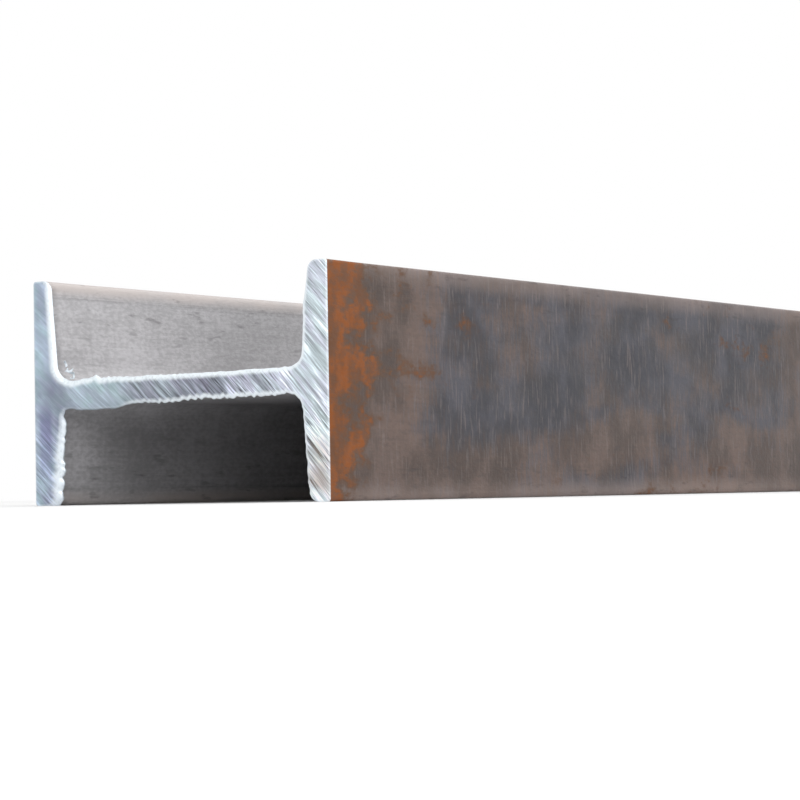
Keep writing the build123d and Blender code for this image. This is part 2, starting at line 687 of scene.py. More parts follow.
@dataclass
class SawnIBeam:
    """The whole beam as one closed mesh: two cut faces with their burrs, and the rolled sides between.

    A burr is as thick as burr_thickness, and thinner where it reaches out little: burr_thin there, and more
    by the share burr_thicken of its reach. Lumps, in cells of lump_cell, add lump_share of its reach. Inside
    the edge its band falls away by band_fall of its own width, and smooths the saw marks by band_smooth.
    """

    section: RolledSection
    length: float
    curls: tuple[TornCurl, ...]
    cell: float = 0.42 * MM
    burr_thickness: float = 0.45 * MM
    burr_thin: float = 0.15 * MM
    burr_thicken: float = 0.4
    burr_lean: float = 0.32
    lump_cell: float = 1.6 * MM
    lump_share: float = 0.12
    lump_middle: float = 0.3
    # The burr's painted highlight fades out over this share of its width
    highlight_fade: float = 0.9
    band_fall: float = 0.5
    band_round: float = 0.96
    band_smooth: float = 0.8
    # Outer edges' burr: reach, band and painted highlight width, then that painted highlight's strength
    outside_edge: tuple[float, float, float, float] = (0.1 * MM, 0.45 * MM, 0.5 * MM, 0.5)
    wave: float = 0.10 * MM
    long_wave: Point = (45 * MM, 45 * MM, 140 * MM)
    short_wave: Point = (9 * MM, 9 * MM, 22 * MM)
    long_share: float = 0.7
    flat_end: float = 20 * MM
    near_reach: float = 0.33
    ring_on_map: float = 0.6 * MM
    map_overlap: float = 20 * MM
    # Painted highlight on the torn curls, standing in for the sky's glint on bare steel
    curl_highlight: float = 0.8
    curl_on_map: float = 0.95
    marks: SawMarks = SawMarks()
    spacing: RingSpacing = RingSpacing()

    # A burr in steps from its edge to its tip and back under it: share of its reach, then how far the step
    # lies behind the cut, as a share of its lean and a share of its thickness
    burr_steps = (
        (0.22, 0.05, 0.04), (0.45, 0.18, 0.08), (0.7, 0.42, 0.14), (0.9, 0.75, 0.24), (1.0, 1.0, 0.5),
        (0.85, 1.0, 1.0), (0.4, 0.75, 1.15), (0.0, 0.5, 1.3),
    )

    def __post_init__(self) -> None:
        """Lay out the cut face and its outline."""
        self.grid = CutFaceGrid(self.section, self.cell)
        self.mesh = SteelMesh()
        self.places, self.outward, self.round = self.grid.outline()

    def lift(self, height: np.ndarray) -> np.ndarray:
        """Height above the floor, from a height above the web's middle."""
        return height + self.section.half_width

    def inside_box(self, flat: np.ndarray) -> np.ndarray:
        """Keep places within the rolled section's own box."""
        limit = np.array([self.section.depth / 2, self.section.half_width])
        return np.clip(flat, -limit, limit)

    def edge_values(self, end: int) -> np.ndarray:
        """Reach, band, highlight width and painted highlight strength of the burr round the whole outline.

        The far end is the same saw's work seen from the other side, so its burrs are mirrored.

        Args:
            end: -1 for the near end and 1 for the far end.

        Returns:
            Four columns, a row for each point of the outline.
        """
        seed = Seed.BURR + Seed.END_STEP * end
        along = self.grid.along * -end
        values = np.tile(self.outside_edge, (len(along), 1))
        for zone, burr in ((Zone.UPPER, UPPER_BURR), (Zone.LOWER, LOWER_BURR)):
            here = self.grid.zone == zone.value
            channel_seed = seed + Seed.ZONE_STEP * zone.value
            values[here] = burr.at(along[here], self.places[here], channel_seed)
        return values

    def painted_highlight(self, edge: np.ndarray, from_tip: np.ndarray) -> np.ndarray:
        """Burr's painted highlight: full at its tip, half at its highlight width from there, then none."""
        return edge[:, 3] * smooth_step(0.5 + (edge[:, 2] - from_tip) / (self.highlight_fade * edge[:, 2]))

    def add_end(self, end: int) -> list[Ring]:
        """Add a cut face and the rings of its burr.

        Inside the edge the face falls away along most of a quarter ellipse, as wide as the band. Each burr
        ring lies a share of the reach out of the edge and some way behind the cut.

        Args:
            end: -1 for the near end and 1 for the far end.

        Returns:
            The face's outline and each ring from there to the rolled side.
        """
        grid, section = self.grid, self.section
        edge = self.edge_values(end)
        nearest, distance = nearest_points(np.stack([grid.x, grid.height], 1), self.places)
        band = np.maximum(edge[nearest, 1], ROUNDING * MM)
        inward = np.clip(1 - distance / band, 0, 1)
        depth = self.marks.depth(grid.x * -end, grid.height, Seed.MARKS + end)
        fall = self.band_fall * band * (1 - np.sqrt(1 - self.band_round * inward**2))
        behind = self.marks.deepest * depth * (1 - self.band_smooth * inward) + fall
        cut = end * self.length / 2
        face = np.stack([grid.x, cut - end * behind, self.lift(grid.height)], 1)
        numbers = self.mesh.add_corners(face, self.painted_highlight(edge[nearest], edge[nearest, 0] + distance), depth)
        sheet = MapSheet.NEAR_END if end < 0 else MapSheet.FAR_END
        on_map = sheet.place(grid.x / section.depth + 0.5, grid.height / section.width + 0.5)
        quads = grid.quads if end < 0 else grid.quads[:, ::-1]
        self.mesh.add_faces(numbers[quads], on_map[quads], Finish.SAWN)
        reach = edge[:, 0]
        thickness = np.minimum(self.burr_thickness, self.burr_thin + self.burr_thicken * reach)
        rings = [Ring(numbers[grid.loop], 1, 0.0)]
        for share, lean, thick in self.burr_steps:
            flat = self.inside_box(self.places + self.outward * (reach * share)[:, None])
            lumps = value_noise(flat / self.lump_cell, Seed.LUMPS + end) - self.lump_middle
            lumps = self.lump_share * reach * share * lumps
            back = behind[grid.loop] + reach * self.burr_lean * lean + thickness * thick + lumps
            ring = np.stack([flat[:, 0], cut - end * back, self.lift(flat[:, 1])], 1)
            painted_highlight = self.painted_highlight(edge, reach * (1 - share))
            rings.append(Ring(self.mesh.add_corners(ring, painted_highlight), 1, 0.0))
        return rings

    def side_ring(self, distance: float, skip: int) -> Ring:
        """Add a ring of corners round the rolled section.

        A rolled face is never dead flat: the ring lies inside the outline by a long wave and a short one.

        Args:
            distance: How far it lies from the near end.
            skip: Take every so many points of the outline.

        Returns:
            The ring.
        """
        y = distance - self.length / 2
        places, outward = self.places[::skip], self.outward[::skip]
        spot = np.column_stack([places, np.full(len(places), y)])
        long_wave = self.long_share * value_noise(spot / self.long_wave, Seed.LONG_WAVE)
        short_wave = (1 - self.long_share) * value_noise(spot / self.short_wave, Seed.SHORT_WAVE)
        fade = float(smooth_step((self.length / 2 - abs(y)) / self.flat_end))
        inset = self.wave * fade * (long_wave + short_wave)
        flat = places - outward * inset[:, None]
        ring = np.stack([flat[:, 0], np.full(len(flat), y), self.lift(flat[:, 1])], 1)
        return Ring(self.mesh.add_corners(ring), skip, distance)

    def add_strip(self, first: Ring, second: Ring, finish: Finish) -> None:
        """Add the faces between two rings, with three triangles wherever the spacing changes.

        Args:
            first: Ring nearer the near end.
            second: The next ring.
            finish: Finish of the faces.
        """
        whole = self.length + 2 * len(self.burr_steps) * self.ring_on_map
        if second.distance <= self.near_reach:
            sheet, start, span = MapSheet.NEAR_SIDES, 0.0, self.near_reach
        else:
            start = self.near_reach - self.map_overlap
            sheet, span = MapSheet.REST, whole - start
        corners, on_map = [], []
        for ring in (first, second):
            around = np.append(self.round[:-1][::ring.skip], self.round[-1]) / self.round[-1]
            up = np.full(len(around), (ring.distance - start) / span)
            corners.append(np.append(ring.corners, ring.corners[0]))
            on_map.append(sheet.place(around, up))
        base = len(corners[0])
        step = np.arange(min(base, len(corners[1])) - 1)
        if first.skip == second.skip:
            blocks = [(step, step + 1, base + step + 1, base + step)]
        elif first.skip < second.skip:
            blocks = [
                (2 * step, 2 * step + 1, base + step),
                (2 * step + 1, 2 * step + 2, base + step + 1),
                (2 * step + 1, base + step + 1, base + step),
            ]
        else:
            blocks = [
                (step, base + 2 * step + 1, base + 2 * step),
                (step, step + 1, base + 2 * step + 1),
                (step + 1, base + 2 * step + 2, base + 2 * step + 1),
            ]
        numbers, spots = np.concatenate(corners), np.concatenate(on_map)
        for block in blocks:
            picked = np.stack(block, 1)
            self.mesh.add_faces(numbers[picked], spots[picked], finish)

    def add_curls(self) -> None:
        """Add the torn curls, each on its own stretch of the map."""
        for i, curl in enumerate(self.curls):
            places, faces, spot = curl.surface(-self.length / 2)
            numbers = self.mesh.add_corners(places, self.curl_highlight)
            across = (i + self.curl_on_map * spot[:, 0]) / len(self.curls)
            spot = MapSheet.CURLS.place(across, spot[:, 1])
            self.mesh.add_faces(numbers[faces], spot[faces], Finish.SAWN)

    def build(self, finishes: list[Material]) -> bpy.types.Object:
        """Put the ends, the burrs and the sides together.

        Args:
            finishes: Materials in the order of Finish.

        Returns:
            The beam.
        """
        near = self.add_end(-1)
        far = self.add_end(1)
        burr = len(self.burr_steps)
        shift = burr * self.ring_on_map
        whole = self.length + 2 * shift
        rings = [Ring(r.corners, 1, i * self.ring_on_map) for i, r in enumerate(near)]
        for distance, skip in self.spacing.stations(self.length, self.near_reach):
            side = self.side_ring(distance, skip)
            rings.append(Ring(side.corners, skip, distance + shift))
        rings += [Ring(r.corners, 1, whole - i * self.ring_on_map) for i, r in enumerate(far)][::-1]
        for i, (first, second) in enumerate(itertools.pairwise(rings)):
            on_burr = i < burr or i >= len(rings) - 1 - burr
            self.add_strip(first, second, Finish.SAWN if on_burr else Finish.ROLLED)
        self.add_curls()
        return self.mesh.build("rolled_beam", finishes)


class Texture(Enum):
    """Node groups that the steel's finishes share, by their names."""

    GRAIN = "stretched_grain"
    ARCS = "saw_arcs"


class Grain(Enum):
    """Noises in stretched cells: the cell across, along and up the beam in millimetres, then its detail."""

    CLOUD = (30, 50, 18, 3)
    SPECK = (1.1, 2.2, 1.1, 3)
    LINES = (0.9, 120, 0.9, 3)
    BARS = (30, 2.2, 30, 2)
    SCALE = (160, 210, 60, 2)
    RUBBED = (25, 0.9, 7, 3)
    MOTTLE = (24, 15, 17, 4)
    PITS = (4, 11, 2.7, 4)
    BLOOM = (9, 7, 11, 5)
    RUST_PATCH = (50, 110, 30, 5)
    RUST_SPOT = (7, 9, 7, 4)
    CUT_CLOUD = (20, 20, 20, 2)
    FLECKS = (0.9, 0.9, 0.9, 2)


class Arcs(Enum):
    """Noises along the saw's arcs, in millimetres: the cell across and along them, and a move upwards."""

    BROAD = (0.72, 16, 0)
    FINE = (0.42, 8, 75)
    PATCHES = (6, 16, 0)
    HEAT = (3, 8, 0)


class Wiring:
    """Adds nodes to one shader tree and joins their sockets."""

    def __init__(self, tree: bpy.types.NodeTree) -> None:
        """Keep the tree."""
        self.tree = tree

    def feed(self, socket: Socket, value: object) -> None:
        """Join a socket to another one, or set its value, which for a colour is its three shares."""
        if isinstance(value, Socket):
            self.tree.links.new(value, socket)
        else:
            socket.default_value = (*value, 1) if socket.type == "RGBA" else value

    def node(self, kind: str, inputs: dict, **settings: object) -> bpy.types.Node:
        """Add a node.

        Args:
            kind: Its type.
            inputs: Values or sockets for its inputs, by name or place.
            **settings: Values for its own properties.

        Returns:
            The node.
        """
        made = self.tree.nodes.new(kind)
        for name, value in settings.items():
            setattr(made, name, value)
        for key, value in inputs.items():
            self.feed(made.inputs[key], value)
        return made

    def parts(self, place: Socket) -> list[Socket]:
        """X, y and z of a place."""
        return list(self.node("ShaderNodeSeparateXYZ", {0: place}).outputs)

    def math(self, operation: str, *values: object) -> Socket:
        """Add one step of arithmetic."""
        return self.node("ShaderNodeMath", dict(enumerate(values)), operation=operation).outputs[0]

    def times(self, *values: object) -> Socket:
        """Multiply values, one after the other."""
        return reduce(partial(self.math, "MULTIPLY"), values)

    def plus(self, *values: object) -> Socket:
        """Add values up, one after the other."""
        return reduce(partial(self.math, "ADD"), values)

    def minus(self, value: object, less: object) -> Socket:
        """Take one value from another."""
        return self.math("SUBTRACT", value, less)

    def size(self, value: Socket) -> Socket:
        """Value without its sign."""
        return self.math("ABSOLUTE", value)

    def span(self, value: Socket, low: float, high: float, start: float = 0.0, end: float = 1.0) -> Socket:
        """Turn low to high into start to end, eased and held within them. High may lie below low."""
        inputs = {"Value": value, "From Min": low, "From Max": high, "To Min": start, "To Max": end}
        return self.node("ShaderNodeMapRange", inputs, interpolation_type="SMOOTHSTEP").outputs[0]

    def mix(
        self, share: object, first: object, second: object, way: str = "MIX", held: bool = False
    ) -> Socket:
        """Mix two colours.

        Args:
            share: How much of the second.
            first: First colour.
            second: Second colour.
            way: How they blend.
            held: Hold the result within 0 and 1.

        Returns:
            The mixed colour.
        """
        inputs = {0: share, 6: first, 7: second}
        made = self.node("ShaderNodeMix", inputs, data_type="RGBA", blend_type=way, clamp_result=held)
        return made.outputs[2]

    def tinted(self, colour: object, tint: object, held: bool = False) -> Socket:
        """Multiply a colour by another."""
        return self.mix(1.0, colour, tint, "MULTIPLY", held)

    def lit(self, colour: object, light: Socket, held: bool = False) -> Socket:
        """Multiply a colour by a lightness."""
        grey = self.node("ShaderNodeCombineColor", {0: light, 1: light, 2: light}).outputs[0]
        return self.tinted(colour, grey, held)


@dataclass(frozen=True)
class SteelTextures:
    """Makes the node groups that the steel's finishes share.

    Each group stretches the middle part of its noise, its contrast, to the whole range from 0 to 1.
    """

    web_height: float
    marks: SawMarks = SawMarks()
    grain_contrast: Span = (0.25, 0.75)
    arc_contrast: Span = (0.28, 0.72)
    arc_radius: float = 0.65
    arc_detail: float = 3.0
    bend: float = 0.8 * MM
    bend_scale: float = 70.0
    bend_detail: float = 1.0
    lengthwise: float = 3.0

    @staticmethod
    def new_tree(texture: Texture, inputs: dict[str, str]) -> tuple[Wiring, dict[str, Socket], Socket]:
        """Start a group that puts out one value.

        Args:
            texture: Which group.
            inputs: Kind of each input's socket, by its name.

        Returns:
            Its wiring, its inputs by name, and the socket that takes its value.
        """
        tree = bpy.data.node_groups.new(texture.value, "ShaderNodeTree")
        for label, kind in inputs.items():
            tree.interface.new_socket(label, in_out="INPUT", socket_type=f"NodeSocket{kind}")
        tree.interface.new_socket("Value", in_out="OUTPUT", socket_type="NodeSocketFloat")
        start = tree.nodes.new("NodeGroupInput")
        end = tree.nodes.new("NodeGroupOutput")
        return Wiring(tree), {label: start.outputs[label] for label in inputs}, end.inputs["Value"]

    def build(self) -> None:
        """Make both groups."""
        self.build_grain()
        self.build_arcs()

    def build_grain(self) -> None:
        """Noise whose cell has its own size each way: the place is divided by the cell first."""
        kinds = {"Place": "Vector", "Cell": "Vector", "Detail": "Float"}
        wiring, start, end = self.new_tree(Texture.GRAIN, kinds)
        sides = {0: start["Place"], 1: start["Cell"]}
        scaled = wiring.node("ShaderNodeVectorMath", sides, operation="DIVIDE").outputs[0]
        cells = {"Vector": scaled, "Scale": 1.0, "Detail": start["Detail"]}
        noise = wiring.node("ShaderNodeTexNoise", cells).outputs[0]
        wiring.feed(end, wiring.span(noise, *self.grain_contrast))

    def build_arcs(self) -> None:
        """Noise stretched along arcs about the saw blade's centre, below the left of the beam.

        Its coordinates are the distance from that centre, bent a little by a broad noise, and the angle about
        it times a fixed radius.
        """
        kinds = {"Place": "Vector", "Across": "Float", "Along": "Float"}
        wiring, start, end = self.new_tree(Texture.ARCS, kinds)
        x, y, z = wiring.parts(start["Place"])
        out = wiring.minus(x, self.marks.centre[0])
        up = wiring.minus(z, self.marks.centre[1] + self.web_height)
        radius = wiring.math("SQRT", wiring.plus(wiring.times(out, out), wiring.times(up, up)))
        broad = {"Vector": start["Place"], "Scale": self.bend_scale, "Detail": self.bend_detail}
        bend = wiring.node("ShaderNodeTexNoise", broad).outputs[0]
        radius = wiring.plus(radius, wiring.times(bend, self.bend))
        arc = wiring.times(wiring.math("ARCTAN2", up, out), self.arc_radius)
        cell = {
            0: wiring.math("DIVIDE", radius, start["Across"]),
            1: wiring.math("DIVIDE", arc, start["Along"]),
            2: wiring.times(y, self.lengthwise),
        }
        spot = wiring.node("ShaderNodeCombineXYZ", cell).outputs[0]
        cells = {"Vector": spot, "Scale": 1.0, "Detail": self.arc_detail}
        noise = wiring.node("ShaderNodeTexNoise", cells).outputs[0]
        wiring.feed(end, wiring.span(noise, *self.arc_contrast))


class Measure(Enum):
    """Lengths that the masks of a finish grow along."""

    ACROSS = "across the beam, from its middle to the right"
    ALONG = "along the beam, from its middle to the far end"
    UP = "up from the floor"
    OUT = "from the beam's middle, to either side"
    FROM_WEB = "from the web's middle, up or down"
    TO_END = "to the nearer end"
    FROM_STRIP = "from the middle of the shaded strip"
    FROM_SEAM = "from the nearer seam"


class Coat(Wiring):
    """A finish in the making: a material with the lengths, masks and noises that its layers read.

    A part of a mask holds a measure, and then in millimetres where the mask starts and where it is full, or
    a noise and the values between which the mask grows. Either may then give the mask's strength at its
    start and in full.
    """

    metallic: float
    bump_strength: float
    bump_depth: float

    def __init__(self, name: str, section: RolledSection) -> None:
        """Start the material with a bare shader.

        Args:
            name: The material's name.
            section: The rolled section, whose web's middle lies half its width up.
        """
        self.material = bpy.data.materials.new(name)
        self.material.use_nodes = True
        super().__init__(self.material.node_tree)
        self.shader = self.tree.nodes["Principled BSDF"]
        self.place = self.node("ShaderNodeTexCoord", {}).outputs["Object"]
        across, along, up = self.parts(self.place)
        self.lengths = {
            Measure.ACROSS: across,
            Measure.ALONG: along,
            Measure.UP: up,
            Measure.OUT: self.size(across),
            Measure.FROM_WEB: self.size(self.minus(up, section.half_width)),
        }
        self.noises: dict[Grain | Arcs, Socket] = {}

    def attribute(self, name: str) -> Socket:
        """Value of one of the mesh's own attributes."""
        return self.node("ShaderNodeAttribute", {}, attribute_name=name).outputs["Fac"]

    def noise(self, kind: Grain | Arcs) -> Socket:
        """Value of a noise, whose node is made the first time that it is asked for.

        Args:
            kind: Which noise.

        Returns:
            Its value.
        """
        if kind not in self.noises:
            texture, inputs = self.grain(kind) if isinstance(kind, Grain) else self.arcs(kind)
            group = bpy.data.node_groups[texture.value]
            self.noises[kind] = self.node("ShaderNodeGroup", inputs, node_tree=group).outputs[0]
        return self.noises[kind]

    def grain(self, kind: Grain) -> tuple[Texture, dict[str, object]]:
        """Group of a noise in stretched cells, and what it is fed."""
        *cell, detail = kind.value
        return Texture.GRAIN, {"Place": self.place, "Cell": [side * MM for side in cell], "Detail": detail}

    def arcs(self, kind: Arcs) -> tuple[Texture, dict[str, object]]:
        """Find the group of a noise along the saw's arcs.

        Args:
            kind: Which noise.

        Returns:
            The group, and what it is fed.
        """
        across, along, lift = (length * MM for length in kind.value)
        sides = {0: self.place, 1: (0, 0, lift)}
        lifted = self.node("ShaderNodeVectorMath", sides, operation="ADD").outputs[0]
        return Texture.ARCS, {"Place": lifted, "Across": across, "Along": along}

    def blend(self, shares: Shares) -> Socket:
        """Add noises up, each times its share."""
        return self.plus(*(self.times(self.noise(kind), share) for kind, share in shares))

    def part(self, source: Measure | Grain | Arcs, *span: float) -> Socket:
        """Make one part of a mask.

        Args:
            source: A measure or a noise.
            *span: Where it starts and is full, and its strengths there.

        Returns:
            The mask.
        """
        if isinstance(source, Measure):
            return self.span(self.lengths[source], *(length * MM for length in span[:2]), *span[2:])
        return self.span(self.noise(source), *span)

    def mask(self, *parts: Part) -> Socket:
        """Multiply the parts of a mask."""
        return self.times(*(self.part(*part) for part in parts))

    def finish(self, colour: Socket, roughness: Socket, relief: Socket) -> Material:
        """Join the shader's sockets.

        Args:
            colour: Base colour.
            roughness: Roughness.
            relief: Height of the bump, from 0 to 1.

        Returns:
            The material.
        """
        self.feed(self.shader.inputs["Base Color"], colour)
        self.shader.inputs["Metallic"].default_value = self.metallic
        self.feed(self.shader.inputs["Roughness"], roughness)
        bump = {"Height": relief, "Strength": self.bump_strength, "Distance": self.bump_depth}
        self.feed(self.shader.inputs["Normal"], self.node("ShaderNodeBump", bump).outputs[0])
        return self.material


class SawnFinish(Coat):
    """Round-sawn steel: cool grey, arc streaks with painted glints, and a painted highlight on the burr."""

    metallic = 0.55
    bump_strength = 0.5
    bump_depth = 0.06 * MM
    roughness: Span = (0.0, 1.0, 0.55, 0.36)

    tints: tuple[tuple[float, Colour], ...] = (
        (0.00, (0.39, 0.485, 0.57)),
        (0.07, (0.29, 0.33, 0.42)),
        (0.20, (0.38, 0.47, 0.52)),
        (0.42, (0.235, 0.26, 0.30)),
        (0.62, (0.21, 0.22, 0.27)),
        (0.82, (0.53, 0.57, 0.655)),
        (1.00, (0.64, 0.71, 0.77)),
    )
    tints_start: float = 54 * MM
    tints_reach: float = 120 * MM
    tints_stray: float = 12 * MM
    hue_change: Part = (Arcs.HEAT, 0.1, 0.9)
    violet: Colour = (1.03, 0.985, 1.035)
    green: Colour = (0.97, 1.015, 0.985)

    # Saw-mark streaks: partly the marks' own tone, partly painted glints standing in for how bare steel
    # catches light
    streaks: Shares = ((Arcs.BROAD, 0.5), (Arcs.FINE, 0.5))
    streak_rise: float = 0.15
    groove_share: float = 0.3
    soft_streaks: Span = (0.05, 0.95, -0.24, 0.14)
    bright_lines: Part = (Arcs.BROAD, 0.62, 0.92, 0.0, 0.48)
    dark_lines: Part = (Arcs.BROAD, 0.38, 0.05, 0.0, 0.34)
    fine_lines: Part = (Arcs.FINE, 0.62, 0.95, 0.0, 0.28)
    line_patches: Part = (Arcs.PATCHES, 0.2, 0.7, 0.65, 1.15)
    glint_patches: Part = (Arcs.PATCHES, 0.2, 0.8, 0.88, 1.12)

    low_right: Mask = ((Measure.ACROSS, 40, 56, 0.0, 0.45), (Measure.UP, 46, 22))
    smooth: Mask = ((Measure.ACROSS, -44, -50), (Measure.UP, 6, 42, 0.30, 0.85))
    milky: Mask = ((Measure.ACROSS, -12, -24), (Measure.ACROSS, -54, -46))
    milkiness: float = 0.7
    keen: Mask = ((Measure.ACROSS, 5, 20), (Measure.ACROSS, 48, 42))
    keen_marks: Span = (0.0, 1.0, 1.0, 1.4)
    junction: Mask = ((Measure.OUT, 41, 49), (Measure.FROM_WEB, 18, 4))
    junction_marks: Span = (0.0, 1.0, 1.0, 0.62)
    junction_light: Span = (0.0, 1.0, 1.0, 0.87)

    strip_middle: float = 55.2 * MM
    strip: Mask = (
        (Measure.FROM_STRIP, 3.8, 1.4),
        (Grain.CUT_CLOUD, 0.0, 0.7, 0.6),
        (Measure.UP, 6, 13),
        (Measure.UP, 35, 27),
    )
    shaded: Colour = (0.66, 0.635, 0.76)
    # Painted highlight on the burr: pale colour for the sky's glint on the rolled-over edge, broken by flecks
    highlight_flecks: Part = (Grain.FLECKS, 0.1, 0.6, 0.82, 1.0)
    bright: Colour = (0.80, 0.86, 0.90)
    stained: Mask = ((Measure.UP, 30, 4), (Measure.ACROSS, 48, 56), (Grain.CUT_CLOUD, 0.3, 0.8, 0.0, 0.6))
    stain: Colour = (0.30, 0.20, 0.12)

    def __init__(self, section: RolledSection) -> None:
        """Start the material, with its streaks and its distance from the shaded strip.

        Args:
            section: The rolled section.
        """
        super().__init__("sawn_steel", section)
        grooves = self.times(self.attribute("groove"), self.groove_share)
        self.streak = self.minus(self.plus(self.blend(self.streaks), self.streak_rise), grooves)
        across = self.lengths[Measure.ACROSS]
        self.lengths[Measure.FROM_STRIP] = self.size(self.plus(across, self.strip_middle))

    def build(self) -> Material:
        """Make the material.

        Its colour is the tint across the cut, times the light and dark of the saw marks, partly painted
        glints, and a change of hue, then the shaded strip, the painted highlight on the burr and the stain
        laid over it in turn.

        Returns:
            The material.
        """
        junction = self.mask(*self.junction)
        # Lightness of the saw marks, partly painted glints
        light = self.plus(1.0, self.times(self.marks(), self.contrast(junction)))
        light = self.times(light, self.mask(self.glint_patches), self.span(junction, *self.junction_light))
        hue = self.mix(self.mask(self.hue_change), self.violet, self.green)
        colour = self.tinted(self.lit(self.tint(), light, held=True), hue)
        colour = self.mix(self.mask(*self.strip), colour, self.tinted(colour, self.shaded))
        # Painted highlight on the burr and the curls
        painted_highlight = self.attribute("painted_highlight")
        colour = self.mix(self.times(painted_highlight, self.mask(self.highlight_flecks)), colour, self.bright)
        colour = self.mix(self.mask(*self.stained), colour, self.stain)
        relief = self.times(self.noise(Arcs.FINE), self.minus(1.0, painted_highlight))
        return self.finish(colour, self.span(self.streak, *self.roughness), relief)

    def tint(self) -> Socket:
        """Colour across the cut, from the left flange to the right one, with a wavering edge to each tint.

        Returns:
            The colour.
        """
        stray = self.times(self.noise(Grain.CUT_CLOUD), self.tints_stray)
        place = self.plus(self.lengths[Measure.ACROSS], stray)
        share = self.math("DIVIDE", self.plus(place, self.tints_start), self.tints_reach)
        ramp = self.node("ShaderNodeValToRGB", {0: share})
        elements = ramp.color_ramp.elements
        ramp.color_ramp.interpolation = "EASE"
        while len(elements) < len(self.tints):
            elements.new(0.5)
        for element, (place, colour) in zip(elements, self.tints):
            element.position = place
            element.color = (*colour, 1)
        return ramp.outputs[0]

    def marks(self) -> Socket:
        """Light and dark of the saw marks: soft streaks, and fine bright and dark lines in uneven patches.

        They are stronger low on the right flange. They are partly the marks' own tone and partly painted
        glints: colour that stands in for how the bare steel catches the light.

        Returns:
            How much lighter or darker each place is, about 0.
        """
        lines = self.minus(self.mask(self.bright_lines), self.mask(self.dark_lines))
        lines = self.times(self.plus(lines, self.mask(self.fine_lines)), self.mask(self.line_patches))
        light = self.plus(self.span(self.streak, *self.soft_streaks), lines)
        return self.times(light, self.plus(self.mask(*self.low_right), 1.0))

    def contrast(self, junction: Socket) -> Socket:
        """How strongly the saw marks show.

        They are smooth on the upper left flange, milky on the left of the web, keen on its right, and faint
        where the web meets the flanges.

        Args:
            junction: Mask of the places where the web meets the flanges.

        Returns:
            A factor for the marks.
        """
        milky = self.times(self.mask(*self.milky), self.milkiness)
        calm = self.minus(1.0, self.math("MAXIMUM", self.mask(*self.smooth), milky))
        calm = self.times(calm, self.span(junction, *self.junction_marks))
        return self.times(calm, self.span(self.mask(*self.keen), *self.keen_marks))


